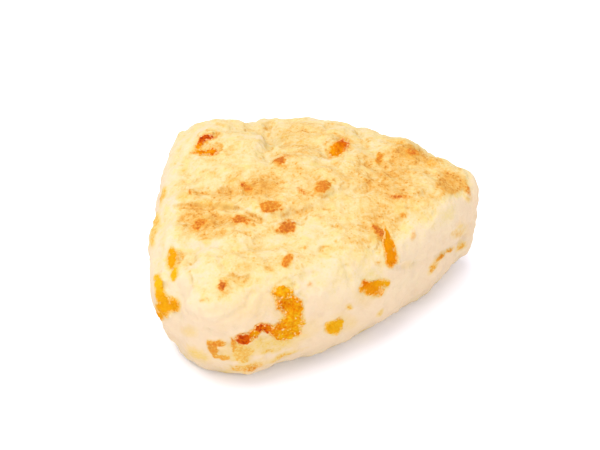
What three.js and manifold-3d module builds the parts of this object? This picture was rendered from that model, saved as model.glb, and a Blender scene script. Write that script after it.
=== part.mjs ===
// A thick triangular cheese scone: one baked piece of dough with lumps of melted cheese in its crust.
// Millimetres, +Z up, +X towards the narrow corner; it rests on its flat underside at z = 0.

import * as THREE from "three";
import { mergeVertices } from "three/addons/utils/BufferGeometryUtils.js";
import { ImprovedNoise } from "three/addons/math/ImprovedNoise.js";
import Module from "manifold-3d";

// Plan of the widest part, the belly: three rounded corners joined by bulging sides.
// Each corner names its radius and the radius of the side that leaves it, counter-clockwise.
const CORNERS = [
  { x: -32.5, y: 29.3, radius: 12.4, side: 250 }, // back left
  { x: -23.5, y: -22.7, radius: 22.2, side: 109 }, // front left, the widest corner
  { x: 39.5, y: 12.8, radius: 7.2, side: 75 }, // narrow corner
];

// Side profile, from the flat underside over the belly and the shoulder to the domed top.
const BELLY_HEIGHT = 23.4;
const RIM_HEIGHT = 36.9;
const CROWN_RISE = 2.5;
const BASE_INSET = 10.1;
const BASE_INSET_EXTRA = 1.4; // more towards the widest corner, less away from it
// Places along the belly's plan where the foot below is drawn in further.
const FOOT_DENTS = [
  { x: -7, y: -43, reach: 10, depth: 4.2 },
  { x: 29, y: -18, reach: 8, depth: 2.6 },
  { x: 46, y: 6, reach: 8, depth: 2.4 },
];
const RIM_INSET = 17.9;
const SHOULDER_POWER = 2.18; // 2 is an ellipse, more is squarer

// Mesh density of the dough.
const AROUND = 120;
const LOWER_BANDS = 11;
const UPPER_BANDS = 12;
const TOP_STEP = 2.4;
const BASE_STEP = 8;

// Uneven crust: wavelength and height of each layer of swelling.
const SWELL = { wave: 21, height: 1.25, shift: 0.7 };
const KNOBS = { wave: 10.5, height: 1.5, shift: 4.2 };
const GRAIN = { wave: 5.1, height: 0.6, shift: 9.1 };
const CRACKS = { wave: 13, depth: 1.1, sharpness: 5, shift: 2.3 };
const CALM_HEIGHT = 5; // the swelling fades out below this height, so the foot stays flat
const FOOT_WOBBLE = 1.1;

// Folds in the crust: the surface steps down along the line, on the side that `low` points to.
const FOLDS = [
  {
    name: "left edge",
    line: [[-33.5, -19.5, 35.5], [-33.2, -30, 34.5], [-34.5, -36.5, 30.5], [-35.5, -40, 25]],
    low: [-1, 0.25, 0],
    depth: 1.6,
    fade: 6,
  },
  {
    name: "upper ledge",
    line: [[-39, -6, 35], [-32, -8, 36.8], [-26, -10, 37.8], [-20, -14, 38.3], [-16, -16.5, 38.3], [-8, -11.5, 38.6]],
    low: [0, -1, 0],
    depth: 1.3,
    fade: 5,
  },
  {
    name: "lower ledge",
    line: [[-36, -21.5, 36], [-28, -22.5, 37], [-19.5, -24, 37.4], [-11.5, -21, 37.6]],
    low: [0, -1, 0],
    depth: 1.0,
    fade: 4.5,
  },
  {
    name: "right notch",
    line: [[12.8, 34.7, 33.5], [12.5, 26, 36.7], [14.6, 20, 37.1], [17.7, 9, 38.3]],
    low: [-1, 0, 0],
    depth: 1.1,
    fade: 4,
  },
  {
    name: "left notch",
    line: [[-14.3, 38.8, 34.1], [-13.6, 31, 36.7], [-14.6, 21, 38.2], [-15.6, 13, 39]],
    low: [1, 0, 0],
    depth: 1.7,
    fade: 4,
  },
  {
    name: "back crease",
    line: [[-6, 42, 15], [4, 39, 20], [16, 35, 22], [26, 28, 25]],
    low: [0, 0, -1],
    depth: 1.2,
    fade: 5,
  },
];
const FOLD_EDGE = 1.3; // how far the high side of a fold rounds over

// Rounded swellings (positive) and dents (negative) with a place of their own.
const BULGES = [
  { at: [-2, 38.5, 34.5], reach: 6.5, height: 1.3 }, // back rim, left of the middle
  { at: [11, 36.5, 34], reach: 4, height: 1.0 }, // back rim, beside the notch
  { at: [-24.5, 39.5, 34], reach: 7, height: -1.8 }, // low stretch of the rim at the back left
  { at: [38, 23, 31], reach: 8, height: -1.7 }, // back of the narrow corner
  { at: [46, 2, 18], reach: 8, height: -1.0 }, // flank under the narrow corner
  { at: [-49, 4, 24], reach: 15, height: -0.8 }, // middle of the left side
  { at: [-46, 25, 29], reach: 9, height: -0.9 }, // its back end
  { at: [-46, -27, 20], reach: 7, height: 0.5 }, // left of the widest corner
  { at: [-40, -33, 9], reach: 8, height: -1.3 }, // pressed flank under the widest corner
  { at: [20, -24, 20], reach: 9, height: 0.5 }, // belly of the long front side
];

// Crumbs of cheese too small to be pieces of their own: they are fused with the crust.
const CRUMBS = [
  { at: [-10.8, 9.5, 39.3], reach: 1.6, height: 0.35 },
  { at: [1.2, -2, 38.8], reach: 2.3, height: 0.45 },
  { at: [-19.5, -2.3, 38.6], reach: 2.0, height: 0.35 },
  { at: [-13.6, -11.1, 38.7], reach: 2.4, height: 0.45 },
  { at: [-21.1, -15.7, 38.1], reach: 2.1, height: 0.35 },
  { at: [-8.9, -18.3, 37.8], reach: 2.8, height: 0.5 },
  { at: [-8, -30.6, 35.9], reach: 2.2, height: 0.45 },
  { at: [-25.1, -38.6, 34.2], reach: 1.9, height: 0.4 },
  { at: [17.2, 12.6, 38.1], reach: 1.9, height: 0.35 },
  { at: [27.1, 17.3, 36.7], reach: 2.6, height: 0.4 },
  { at: [16.4, -17.2, 34.5], reach: 2.3, height: 0.4 },
  { at: [-27, -44, 16.2], reach: 2.4, height: 0.5 },
  { at: [39.9, 0.2, 15.7], reach: 2.0, height: 0.4 },
  { at: [33.6, -8.9, 18.3], reach: 2.2, height: 0.4 },
  { at: [-46, 5, 26], reach: 2.4, height: 0.45 },
  { at: [-46, -8, 27], reach: 2.0, height: 0.4 },
  { at: [30, 29, 24], reach: 2.2, height: 0.4 },
  { at: [-8, 41, 30], reach: 2.4, height: 0.4 },
];

// Pieces of cheese with a body of their own. Each is a cluster of flat blobs seated on the crust:
// `half` is half the width and half the height on the surface, `turn` turns it there in degrees.
const CHEESE_PROUD = 0.45;
const CHEESE_DEPTH = 2.6;
const CHEESE_GAP = 0.32;
const CHEESE_UNEVEN = 0.36;
const CHEESE_DETAIL = 2;
const FINEST = 0.04; // facets that stand out less than this are merged with their neighbours
const CHEESE = {
  cheese_front_curl: [
    { at: [-8.8, -38.2, 31.2], half: [2.7, 2.7], turn: 0 },
    { at: [-6.7, -39.6, 26.8], half: [3.2, 3.5], turn: 0 },
    { at: [-8.6, -40.6, 21.6], half: [3.4, 2.8], turn: 20 },
    { at: [-12.9, -42.6, 21.5], half: [3.3, 2.0], turn: 12 },
  ],
  cheese_front_lump: [{ at: [-20.4, -44.5, 19.9], half: [3.2, 2.3], turn: 15 }],
  cheese_tall_strip: [{ at: [19.1, -20.8, 30.8], half: [1.9, 5.0], turn: 12 }],
  cheese_right_patch: [{ at: [15, -27.2, 23.4], half: [4.1, 3.0], turn: 0 }],
  cheese_low_patch: [{ at: [4.7, -33.2, 14.6], half: [3.7, 2.9], turn: 20 }],
  cheese_left_lump: [
    { at: [-41, -36.2, 25], half: [4.0, 3.4], turn: 0 },
    { at: [-43, -32, 28], half: [2.2, 4.0], turn: -20 },
  ],
  cheese_left_strip: [{ at: [-39.6, -27, 34], half: [3.4, 1.9], turn: 80 }],
  cheese_top_curl: [
    { at: [-32, 25.2, 36.8], half: [3.1, 2.0], turn: 12 },
    { at: [-33.6, 21.8, 36.4], half: [1.8, 3.6], turn: 0 },
    { at: [-30.6, 18.1, 36.9], half: [2.9, 2.0], turn: 8 },
  ],
  cheese_top_lump: [{ at: [6, 18.4, 38.1], half: [2.9, 4.3], turn: -10 }],
  cheese_back_patch: [{ at: [8, 42, 24], half: [3.8, 2.9], turn: -15 }],
  cheese_back_streak: [
    { at: [-24, 46, 19], half: [3.2, 1.9], turn: 0 },
    { at: [-18.5, 45, 21], half: [3.0, 1.7], turn: -25 },
  ],
  cheese_side_patch: [{ at: [-48, 14, 17], half: [3.4, 2.7], turn: 30 }],
  cheese_tip_lump: [{ at: [36, 24, 22], half: [2.6, 3.6], turn: -20 }],
};

const CRUST_COLOUR = "#fadb9f";
const CHEESE_COLOUR = "#f08f1c";

const noise = new ImprovedNoise();
const UP = new THREE.Vector3(0, 0, 1);
const MIDDLE = new THREE.Vector2(
  CORNERS.reduce((sum, corner) => sum + corner.x, 0) / CORNERS.length,
  CORNERS.reduce((sum, corner) => sum + corner.y, 0) / CORNERS.length,
);

const smooth = (low, high, value) => THREE.MathUtils.smoothstep(value, low, high);
const toVector = (list) => new THREE.Vector3(...list);

// Noise of one wavelength at a point, about -1 to 1.
function waviness(point, wave, shift) {
  return noise.noise(point.x / wave + shift, point.y / wave - shift, point.z / wave + 2 * shift);
}

// Centre of the arc that bulges between two corners and touches both their circles.
function sideCentre(from, to) {
  const start = new THREE.Vector2(from.x, from.y);
  const along = new THREE.Vector2(to.x, to.y).sub(start);
  const span = along.length();
  along.normalize();
  const fromReach = from.side - from.radius;
  const toReach = from.side - to.radius;
  const forward = (fromReach ** 2 - toReach ** 2 + span ** 2) / (2 * span);
  const inward = Math.sqrt(fromReach ** 2 - forward ** 2);
  return start
    .addScaledVector(along, forward)
    .addScaledVector(new THREE.Vector2(-along.y, along.x), inward);
}

// The plan of the belly as one closed path of six arcs that run into each other smoothly.
function bellyPath() {
  const path = new THREE.Path();
  const count = CORNERS.length;
  const next = (i) => (i + 1) % count;
  const centres = CORNERS.map((corner, i) => sideCentre(corner, CORNERS[next(i)]));
  const direction = (corner, centre) => Math.atan2(corner.y - centre.y, corner.x - centre.x);
  CORNERS.forEach((corner, i) => {
    const before = centres[(i + count - 1) % count];
    const enter = direction(corner, before);
    const leave = direction(corner, centres[i]);
    const arrive = direction(CORNERS[next(i)], centres[i]);
    path.absarc(corner.x, corner.y, corner.radius, enter, leave, false);
    path.absarc(centres[i].x, centres[i].y, corner.side, leave, arrive, false);
  });
  return path;
}

// A ring of points at one height, drawn in from the belly by `inset`, which may vary around it.
function ring(path, count, height, inset) {
  return path
    .getSpacedPoints(count)
    .slice(0, count)
    .map((point) => {
      const outward = point.clone().sub(MIDDLE).normalize();
      const drawn = point.clone().addScaledVector(outward, -inset(outward, point));
      return new THREE.Vector3(drawn.x, drawn.y, height);
    });
}

// How far the foot is drawn in, with the ragged edge that the dough has where it meets the tray.
function footInset(outward, point) {
  const widest = CORNERS[1];
  const towards = new THREE.Vector2(widest.x, widest.y).sub(MIDDLE).normalize();
  const ragged = FOOT_WOBBLE * waviness(new THREE.Vector3(point.x, point.y, 0), KNOBS.wave, KNOBS.shift);
  const dents = FOOT_DENTS.map((dent) => dent.depth * Math.exp(-((point.distanceTo(dent) / dent.reach) ** 2)));
  return dents.reduce((sum, dent) => sum + dent, BASE_INSET + BASE_INSET_EXTRA * outward.dot(towards) + ragged);
}

function sideRings(path) {
  const rings = [];
  for (let band = 0; band <= LOWER_BANDS; band += 1) {
    const angle = ((band / LOWER_BANDS) * Math.PI) / 2;
    const inset = (outward, point) => footInset(outward, point) * (1 - Math.sin(angle));
    rings.push(ring(path, AROUND, BELLY_HEIGHT * (1 - Math.cos(angle)), inset));
  }
  for (let band = 1; band <= UPPER_BANDS; band += 1) {
    const angle = ((band / UPPER_BANDS) * Math.PI) / 2;
    const power = 2 / SHOULDER_POWER;
    const height = BELLY_HEIGHT + (RIM_HEIGHT - BELLY_HEIGHT) * Math.sin(angle) ** power;
    rings.push(ring(path, AROUND, height, () => RIM_INSET * (1 - Math.max(Math.cos(angle), 0) ** power)));
  }
  return rings;
}

// Rings that close a flat or domed face, from its edge ring to its middle, with fewer points inward.
function capRings(path, edge, edgeInset, step, heightAt) {
  const reach = edge.reduce((sum, point) => sum + Math.hypot(point.x - MIDDLE.x, point.y - MIDDLE.y), 0) / edge.length;
  const bands = Math.round(reach / step);
  const rings = [];
  for (let band = 1; band < bands; band += 1) {
    const share = band / bands;
    const count = Math.max(6, Math.round(edge.length * (1 - share)));
    const inset = (outward, point) => {
      const radius = point.clone().sub(MIDDLE).length();
      const start = edgeInset(outward, point);
      return start + (radius - start) * share;
    };
    rings.push(ring(path, count, heightAt(share), inset));
  }
  rings.push([new THREE.Vector3(MIDDLE.x, MIDDLE.y, heightAt(1))]);
  return rings;
}

// Joins two neighbouring rings of any number of points with triangles.
function stitch(faces, outer, inner) {
  const point = (list, i) => list.start + (i % list.count);
  let i = 0;
  let j = 0;
  const innerSteps = inner.count === 1 ? 0 : inner.count;
  while (i < outer.count || j < innerSteps) {
    const outerLags = j >= innerSteps || (i < outer.count && (i + 1) / outer.count <= (j + 1) / innerSteps);
    if (outerLags) {
      faces.push(point(outer, i), point(outer, i + 1), point(inner, j));
      i += 1;
    } else {
      faces.push(point(outer, i), point(inner, j + 1), point(inner, j));
      j += 1;
    }
  }
}

// The smooth dough as one closed skin: sides, domed top and flat underside.
function plainSkin() {
  const path = bellyPath();
  const sides = sideRings(path);
  const dome = (share) => RIM_HEIGHT + CROWN_RISE * (1 - (1 - share) ** 2);
  const top = capRings(path, sides[sides.length - 1], () => RIM_INSET, TOP_STEP, dome);
  const base = capRings(path, sides[0], footInset, BASE_STEP, () => 0);
  const positions = [];
  const faces = [];
  const add = (points) => {
    const start = positions.length / 3;
    points.forEach((point) => positions.push(point.x, point.y, point.z));
    return { start, count: points.length };
  };
  const upward = [...sides, ...top].map(add);
  for (let i = 1; i < upward.length; i += 1) {
    stitch(faces, upward[i - 1], upward[i]);
  }
  const downward = [upward[0], ...base.map(add)];
  for (let i = 1; i < downward.length; i += 1) {
    const turned = [];
    stitch(turned, downward[i - 1], downward[i]);
    for (let k = 0; k < turned.length; k += 3) {
      faces.push(turned[k], turned[k + 2], turned[k + 1]);
    }
  }
  const geometry = new THREE.BufferGeometry();
  geometry.setAttribute("position", new THREE.Float32BufferAttribute(positions, 3));
  geometry.setIndex(faces);
  geometry.computeVertexNormals();
  return geometry;
}

// Depth of one fold at a point: full at the line on its low side, and fading away from it.
function foldDepth(fold, point) {
  const segment = new THREE.Line3();
  const nearest = new THREE.Vector3();
  let best = Infinity;
  let side = 0;
  for (let i = 1; i < fold.line.length; i += 1) {
    segment.set(toVector(fold.line[i - 1]), toVector(fold.line[i]));
    segment.closestPointToPoint(point, true, nearest);
    const distance = nearest.distanceTo(point);
    if (distance < best) {
      best = distance;
      side = point.clone().sub(nearest).dot(toVector(fold.low));
    }
  }
  const width = side > 0 ? fold.fade : FOLD_EDGE;
  return fold.depth * Math.exp(-((best / width) ** 2));
}

// Height of a rounded swelling or dent at a point.
function bulgeHeight(bulge, point) {
  return bulge.height * Math.exp(-((point.distanceTo(toVector(bulge.at)) / bulge.reach) ** 2));
}

// Height of the uneven crust over the smooth dough at one of its points.
function crustRelief(point, normal) {
  const layer = (kind) => kind.height * waviness(point, kind.wave, kind.shift);
  const topness = smooth(0.35, 0.9, normal.z);
  const swelling = layer(SWELL) + layer(KNOBS) * (0.45 + 0.55 * topness) + layer(GRAIN) * (0.4 + 0.6 * topness);
  const crackNoise = Math.abs(waviness(point, CRACKS.wave, CRACKS.shift));
  const cracks = CRACKS.depth * topness * Math.max(0, 1 - CRACKS.sharpness * crackNoise);
  const folds = FOLDS.reduce((sum, fold) => sum + foldDepth(fold, point), 0);
  const bulges = BULGES.reduce((sum, bulge) => sum + bulgeHeight(bulge, point), 0);
  const crumbs = CRUMBS.reduce((sum, crumb) => sum + bulgeHeight(crumb, point), 0);
  return (swelling - cracks - folds + bulges + crumbs) * smooth(0, CALM_HEIGHT, point.z);
}

// The dough with its uneven crust; the underside stays flat.
function crustySkin() {
  const geometry = plainSkin();
  const positions = geometry.getAttribute("position");
  const normals = geometry.getAttribute("normal");
  const point = new THREE.Vector3();
  const normal = new THREE.Vector3();
  for (let i = 0; i < positions.count; i += 1) {
    point.fromBufferAttribute(positions, i);
    normal.fromBufferAttribute(normals, i);
    point.addScaledVector(normal, crustRelief(point, normal));
    positions.setXYZ(i, point.x, point.y, point.z);
  }
  geometry.computeVertexNormals();
  return geometry;
}

// Where a named place lies on the crust: its foot on the plane of the nearest corner of the skin.
function seatOn(skin, place) {
  const positions = skin.getAttribute("position");
  const normals = skin.getAttribute("normal");
  const wanted = toVector(place);
  const point = new THREE.Vector3();
  let best = 0;
  let bestDistance = Infinity;
  for (let i = 0; i < positions.count; i += 1) {
    const distance = point.fromBufferAttribute(positions, i).distanceTo(wanted);
    if (distance < bestDistance) {
      bestDistance = distance;
      best = i;
    }
  }
  const nearest = point.fromBufferAttribute(positions, best);
  const outward = new THREE.Vector3().fromBufferAttribute(normals, best).normalize();
  const above = wanted.clone().sub(nearest).dot(outward);
  return { point: wanted.addScaledVector(outward, -above), outward };
}

// Axes on the crust: across it level with the ground (or along X on the top), up it, and outward.
function seatFrame(seat, turn) {
  const level = new THREE.Vector3().crossVectors(UP, seat.outward);
  const onTop = seat.outward.z > 0.9;
  const across = (onTop ? new THREE.Vector3(1, 0, 0) : level).projectOnPlane(seat.outward).normalize();
  across.applyAxisAngle(seat.outward, THREE.MathUtils.degToRad(turn));
  const upward = new THREE.Vector3().crossVectors(seat.outward, across);
  return new THREE.Matrix4().makeBasis(across, upward, seat.outward).setPosition(seat.point);
}

// One blob of melted cheese: flat above the crust, deep below it, uneven all round.
function cheeseBlob(skin, blob, margin) {
  const geometry = new THREE.IcosahedronGeometry(1, CHEESE_DETAIL);
  geometry.deleteAttribute("normal");
  geometry.deleteAttribute("uv");
  const merged = mergeVertices(geometry);
  const positions = merged.getAttribute("position");
  const frame = seatFrame(seatOn(skin, blob.at), blob.turn);
  const point = new THREE.Vector3();
  for (let i = 0; i < positions.count; i += 1) {
    point.fromBufferAttribute(positions, i);
    const shift = blob.at[0] + blob.at[2];
    point.multiplyScalar(1 + CHEESE_UNEVEN * waviness(point, 0.8, shift));
    point.x *= blob.half[0] + margin;
    point.y *= blob.half[1] + margin;
    point.z *= (point.z > 0 ? CHEESE_PROUD : CHEESE_DEPTH) + margin;
    point.applyMatrix4(frame);
    positions.setXYZ(i, point.x, point.y, point.z);
  }
  return merged;
}

const wasm = await Module();
wasm.setup();

function toSolid(geometry) {
  const bare = new THREE.BufferGeometry();
  bare.setAttribute("position", geometry.getAttribute("position"));
  bare.setIndex(geometry.getIndex());
  const merged = mergeVertices(bare, 1e-4);
  return new wasm.Manifold(
    new wasm.Mesh({
      numProp: 3,
      vertProperties: new Float32Array(merged.getAttribute("position").array),
      triVerts: new Uint32Array(merged.getIndex().array),
    }),
  );
}

function toGeometry(solid) {
  const mesh = solid.getMesh();
  const geometry = new THREE.BufferGeometry();
  geometry.setAttribute("position", new THREE.Float32BufferAttribute(mesh.vertProperties, 3));
  geometry.setIndex(Array.from(mesh.triVerts));
  geometry.computeVertexNormals();
  return geometry;
}

// A piece of cheese, or with a margin the pocket that the dough has for it.
function cheesePiece(skin, blobs, margin) {
  const solids = blobs.map((blob) => toSolid(cheeseBlob(skin, blob, margin)));
  return solids.reduce((sum, solid) => sum.add(solid));
}

function node(name, solid, colour, roughness) {
  const material = new THREE.MeshStandardMaterial({ color: colour, roughness, metalness: 0 });
  const mesh = new THREE.Mesh(toGeometry(solid.simplify(FINEST)), material);
  mesh.name = name;
  return mesh;
}

// Puts the origin under the middle of the bounding box, on the ground.
function centre(group) {
  const box = new THREE.Box3();
  group.children.forEach((mesh) => {
    mesh.geometry.computeBoundingBox();
    box.union(mesh.geometry.boundingBox);
  });
  const middle = box.getCenter(new THREE.Vector3());
  group.children.forEach((mesh) => mesh.geometry.translate(-middle.x, -middle.y, -box.min.z));
}

function scone() {
  const group = new THREE.Group();
  const skin = crustySkin();
  let dough = toSolid(skin);
  const pieces = Object.entries(CHEESE).map(([name, blobs]) => {
    dough = dough.subtract(cheesePiece(skin, blobs, CHEESE_GAP));
    return node(name, cheesePiece(skin, blobs, 0), CHEESE_COLOUR, 0.55);
  });
  group.add(node("scone", dough, CRUST_COLOUR, 0.85), ...pieces);
  centre(group);
  return group;
}

export default scone();
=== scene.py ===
"""A triangular cheese scone with a baked crust and lumps of melted cheese, on a pale studio floor."""

import math
import random
from collections import namedtuple

import bpy
import numpy as np
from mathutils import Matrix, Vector, noise
from mathutils.bvhtree import BVHTree


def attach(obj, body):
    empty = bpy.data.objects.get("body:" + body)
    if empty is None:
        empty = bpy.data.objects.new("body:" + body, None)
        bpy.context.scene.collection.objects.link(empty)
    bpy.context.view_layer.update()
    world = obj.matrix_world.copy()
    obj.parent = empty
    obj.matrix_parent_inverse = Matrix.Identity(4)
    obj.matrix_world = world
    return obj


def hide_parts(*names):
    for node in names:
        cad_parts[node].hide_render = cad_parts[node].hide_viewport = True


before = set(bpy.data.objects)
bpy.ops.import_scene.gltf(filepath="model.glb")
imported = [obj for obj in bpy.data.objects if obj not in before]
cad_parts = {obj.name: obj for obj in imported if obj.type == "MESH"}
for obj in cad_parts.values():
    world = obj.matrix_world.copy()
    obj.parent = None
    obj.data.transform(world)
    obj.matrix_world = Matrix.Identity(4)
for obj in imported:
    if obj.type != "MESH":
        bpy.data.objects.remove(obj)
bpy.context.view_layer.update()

MM = 0.001

# The camera looks at this point of the scone from in front and above.
AIM = Vector((-4.9, 11.7, 15.0)) * MM
ELEVATION = math.radians(38)
DISTANCE = 0.56
LENS = 115.9
SENSOR = 36
NEAREST_SEEN = 0.01
FARTHEST_SEEN = 10
FRAME_WIDTH = 600
FRAME_HEIGHT = 450

CHEESE_NODES = sorted(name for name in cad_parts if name.startswith("cheese_"))


def camera_axes():
    """Right, up and backward directions of the photograph's camera."""
    back = Vector((0, -math.cos(ELEVATION), math.sin(ELEVATION)))
    up = Vector((0, math.sin(ELEVATION), math.cos(ELEVATION)))
    return Vector((1, 0, 0)), up, back


def add_camera():
    data = bpy.data.cameras.new("camera")
    data.lens = LENS
    data.sensor_width = SENSOR
    data.clip_start = NEAREST_SEEN
    data.clip_end = FARTHEST_SEEN
    camera = bpy.data.objects.new("camera", data)
    right, up, back = camera_axes()
    camera.location = AIM + back * DISTANCE
    camera.rotation_mode = "QUATERNION"
    camera.rotation_quaternion = (-back).to_track_quat("-Z", "Y")
    bpy.context.scene.collection.objects.link(camera)
    bpy.context.scene.camera = camera


def pixel_ray(x, y):
    """Start and direction of the camera's ray through a pixel of the photograph's frame."""
    right, up, back = camera_axes()
    focal = LENS / SENSOR * FRAME_WIDTH
    across = (x - FRAME_WIDTH / 2) / focal
    above = (FRAME_HEIGHT / 2 - y) / focal
    return AIM + back * DISTANCE, (right * across + up * above - back).normalized()


# Tools for meshes

SMOOTHING_STEP = 0.5
# Each seed moves the noise this far along X, Y and Z, in wavelengths.
SEED_STEPS = (3.17, 5.71, 1.93)

# A layer of noise: its wavelength in millimetres, its height in the unit of what it changes, and its seed.
Wave = namedtuple("Wave", "length height seed")


def coordinates(mesh):
    flat = np.empty(len(mesh.vertices) * 3)
    mesh.vertices.foreach_get("co", flat)
    return flat.reshape(-1, 3)


def normals(mesh):
    flat = np.empty(len(mesh.vertices) * 3)
    mesh.vertices.foreach_get("normal", flat)
    return flat.reshape(-1, 3)


def set_coordinates(mesh, points):
    mesh.vertices.foreach_set("co", np.ascontiguousarray(points, dtype=np.float32).ravel())
    mesh.update()


def add_attribute(mesh, name, values):
    attribute = mesh.attributes.new(name, "FLOAT", "POINT")
    attribute.data.foreach_set("value", np.asarray(values, dtype=np.float32))


def values_of(mesh, name):
    values = np.empty(len(mesh.vertices))
    mesh.attributes[name].data.foreach_get("value", values)
    return values


def tree_of(mesh):
    faces = [tuple(polygon.vertices) for polygon in mesh.polygons]
    return BVHTree.FromPolygons([vertex.co for vertex in mesh.vertices], faces)


def new_object(name, mesh):
    made = bpy.data.objects.new(name, mesh)
    bpy.context.scene.collection.objects.link(made)
    return made


def with_modifier(mesh, kind, **settings):
    """The mesh as one modifier makes it."""
    holder = new_object("holder", mesh)
    modifier = holder.modifiers.new("modifier", kind)
    for name, value in settings.items():
        setattr(modifier, name, value)
    depsgraph = bpy.context.evaluated_depsgraph_get()
    made = bpy.data.meshes.new_from_object(holder.evaluated_get(depsgraph))
    bpy.data.objects.remove(holder)
    return made


def inflated(mesh, amount):
    """A copy of a mesh with its corners moved outward by the same distance."""
    copy = mesh.copy()
    set_coordinates(copy, coordinates(mesh) + normals(mesh) * amount)
    return copy


def joined(meshes):
    points = []
    faces = []
    for mesh in meshes:
        start = len(points)
        points.extend(vertex.co.copy() for vertex in mesh.vertices)
        faces.extend([start + i for i in polygon.vertices] for polygon in mesh.polygons)
    made = bpy.data.meshes.new("joined")
    made.from_pydata(points, [], faces)
    return made


def smoothed(mesh, points, rounds, regain=0):
    """Values moved towards the mean of their neighbours, so many times; a regain keeps a form's size."""
    edges = np.empty(len(mesh.edges) * 2, dtype=np.int64)
    mesh.edges.foreach_get("vertices", edges)
    first, second = edges.reshape(-1, 2).T
    count = np.bincount(first, minlength=len(points)) + np.bincount(second, minlength=len(points))
    for weight in (SMOOTHING_STEP, -regain) * rounds:
        if weight == 0:
            continue
        total = np.zeros_like(points)
        for axis in range(points.shape[1]):
            total[:, axis] += np.bincount(first, points[second, axis], minlength=len(points))
            total[:, axis] += np.bincount(second, points[first, axis], minlength=len(points))
        points = points * (1 - weight) + total / count[:, None] * weight
    return points


def smoothed_values(mesh, values, rounds):
    return smoothed(mesh, values[:, None], rounds)[:, 0]


def ramp(values, low, high):
    """0 below low, 1 above high and smooth between."""
    share = np.clip((values - low) / (high - low), 0, 1)
    return share * share * (3 - 2 * share)


def noise_at(points, length, seed):
    """Noise of about -1 to 1 at each point; its wavelength is in millimetres."""
    shift = Vector([seed * step for step in SEED_STEPS])
    scale = 1 / (length * MM)
    return np.array([noise.noise(Vector(p) * scale + shift) for p in points])


def waves_at(points, waves):
    """The sum of some layers of noise at each point."""
    return sum(wave.height * noise_at(points, wave.length, wave.seed) for wave in waves)


def distance_to(tree, points, reach):
    """Distance from each point to a surface, at most the reach."""
    found = np.full(len(points), reach)
    for i, point in enumerate(points):
        hit = tree.find_nearest(Vector(point), reach)
        if hit[3] is not None:
            found[i] = hit[3]
    return found


# Marks on the crust

# A soft-edged spot on the crust, as the camera sees it: its place, width and height in pixels of the
# photograph, its turn in degrees, its strength, and its tone from yellow (0) to red brown (1).
Spot = namedtuple("Spot", "x y width height turn strength tone", defaults=(0, 1, 0.5))
# The same on the crust itself, in metres, with the directions of its plane.
Mark = namedtuple("Mark", "place outward right up width height turn strength tone")
# Marks scattered over the hidden sides: widths in millimetres.
Scatter = namedtuple("Scatter", "count widths strengths seed")

# The melted cheese, lump by lump.
MELTED = {
    "cheese_front_curl": (
        Spot(284, 292, 20, 15, 0, 1, 0.3),
        Spot(290, 305, 24, 20, 0, 1, 0.5),
        Spot(297, 311, 13, 26, -10, 1, 0.3),
        Spot(292, 322, 22, 20, 0, 1, 0.25),
        Spot(296, 331, 11, 15, 0, 1, 0.3),
        Spot(288, 335, 14, 11, 0, 1, 0.35),
        Spot(283, 327, 12, 9, 0, 1, 0.6),
        Spot(276, 333, 14, 12, 0, 1, 0.5),
        Spot(281, 338, 14, 7, 0, 1, 0.3),
        Spot(268, 329, 12, 9, -12, 1, 0.75),
        Spot(261, 328, 13, 9, 0, 1, 0.85),
    ),
    "cheese_front_lump": (Spot(244, 339, 20, 12, 12, 1, 0.88), Spot(254, 334, 14, 9, 25, 1, 0.4)),
    "cheese_tall_strip": (
        Spot(387, 236, 6, 20, 10, 1, 0.4),
        Spot(389, 247, 10, 24, 12, 1, 0.45),
        Spot(392, 258, 13, 18, 4, 1, 0.5),
    ),
    "cheese_right_patch": (
        Spot(374, 290, 21, 17, 0, 1, 0.45),
        Spot(367, 285, 10, 8, 0, 1, 0.75),
        Spot(383, 284, 13, 9, 20, 1, 0.25),
        Spot(364, 289, 12, 7, 0, 1, 0.35),
    ),
    "cheese_low_patch": (Spot(335, 328, 20, 14, 20, 1, 0.22), Spot(341, 323, 12, 9, 20, 1, 0.2)),
    "cheese_left_lump": (
        Spot(163, 305, 14, 24, 0, 1, 0.3),
        Spot(172, 306, 13, 18, 0, 1, 0.35),
        Spot(160, 292, 9, 14, 0, 1, 0.2),
        Spot(157, 282, 8, 15, 10, 1, 0.1),
        Spot(161, 315, 8, 10, 0, 1, 0.4),
    ),
    "cheese_left_strip": (Spot(171, 258, 11, 20, -8, 1, 0.3), Spot(174, 274, 6, 15, -8, 1, 0.15)),
    "cheese_top_curl": (
        Spot(206, 136, 17, 7, 0, 1, 0.95),
        Spot(199, 141, 7, 9, -40, 1, 0.75),
        Spot(196, 146, 7, 6, 0, 1, 0.4),
        Spot(202, 151, 22, 6, 3, 1, 0.45),
        Spot(212, 151, 12, 10, 20, 1, 0.65),
    ),
    "cheese_top_lump": (Spot(337, 149, 19, 15, 25, 1, 0.45), Spot(342, 144, 15, 12, 30, 1, 0.8)),
}
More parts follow.
